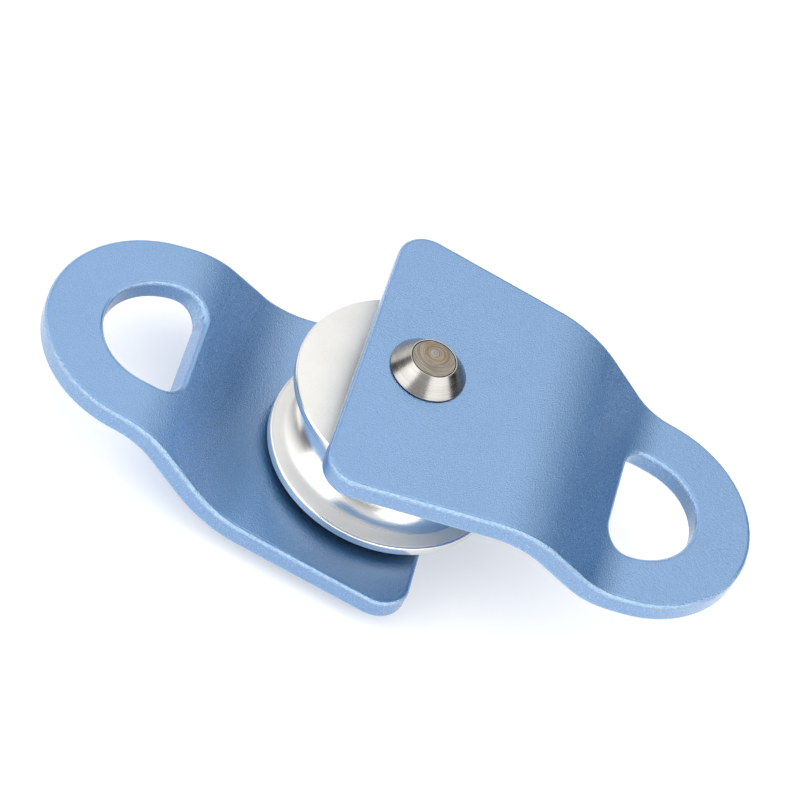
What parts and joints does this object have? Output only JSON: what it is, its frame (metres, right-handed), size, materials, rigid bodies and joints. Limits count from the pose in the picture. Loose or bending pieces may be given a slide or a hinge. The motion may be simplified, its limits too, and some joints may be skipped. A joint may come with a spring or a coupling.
{
  "type": "rope pulley",
  "caption": "Swing-plate rope pulley: joggled side plates with D-shaped eyes, turning on a headed axle around a grooved sheave on ball bearings.",
  "frame": {"origin": "on the axle, midway between the side plates", "axes": "+Z along the axle towards the front plate, +X towards the front plate's eye and -X towards the rear plate's eye with the pulley swung fully open"},
  "size_m": [0.152, 0.0702, 0.0442],
  "materials": {
    "plate": "bead-blasted and light steel-blue anodised",
    "sheave": "turned and matt clear anodised, groove polished",
    "axle": "turned stainless steel",
    "spacer": "turned stainless steel",
    "bearing_steel": "ground bearing steel",
    "cage": "natural polyamide",
    "seal": "moulded nitrile rubber",
    "spring_steel": "phosphated spring steel"
  },
  "bodies": {
    "axle_group": {"axle": "axle", "front_axle_collar": "axle", "front_spacer": "spacer", "rear_spacer": "spacer", "inner_ring_spacer": "spacer", "front_bearing_inner_ring": "bearing_steel", "rear_bearing_inner_ring": "bearing_steel"},
    "front_plate": {"front_side_plate": "plate"},
    "rear_plate": {"rear_side_plate": "plate"},
    "sheave_group": {"sheave": "sheave", "front_bearing_outer_ring": "bearing_steel", "rear_bearing_outer_ring": "bearing_steel", "front_bearing_outer_seal": "seal", "front_bearing_inner_seal": "seal", "rear_bearing_outer_seal": "seal", "rear_bearing_inner_seal": "seal", "front_circlip": "spring_steel", "rear_circlip": "spring_steel"},
    "front_ball_set": {"front_bearing_balls": "bearing_steel", "front_bearing_cage": "cage"},
    "rear_ball_set": {"rear_bearing_balls": "bearing_steel", "rear_bearing_cage": "cage"}
  },
  "joints": [
    {"name": "front_plate_swing", "type": "hinge", "parent": "axle_group", "child": "front_plate", "pos_m": [0, 0, 0.0155], "axis": [0, 0, 1], "continuous": true},
    {"name": "rear_plate_swing", "type": "hinge", "parent": "axle_group", "child": "rear_plate", "pos_m": [0, 0, -0.0155], "axis": [0, 0, 1], "continuous": true},
    {"name": "sheave_spin", "type": "hinge", "parent": "axle_group", "child": "sheave_group", "pos_m": [0, 0, -0.0005], "axis": [0, 0, 1], "continuous": true},
    {"name": "front_balls_spin", "type": "hinge", "parent": "axle_group", "child": "front_ball_set", "pos_m": [0, 0, 0.0035], "axis": [0, 0, 1], "continuous": true},
    {"name": "rear_balls_spin", "type": "hinge", "parent": "axle_group", "child": "rear_ball_set", "pos_m": [0, 0, -0.0045], "axis": [0, 0, 1], "continuous": true}
  ],
  "couplings": [
    {"joint": "front_balls_spin", "follows": "sheave_spin", "ratio": 0.5992},
    {"joint": "rear_balls_spin", "follows": "sheave_spin", "ratio": 0.5992}
  ]
}
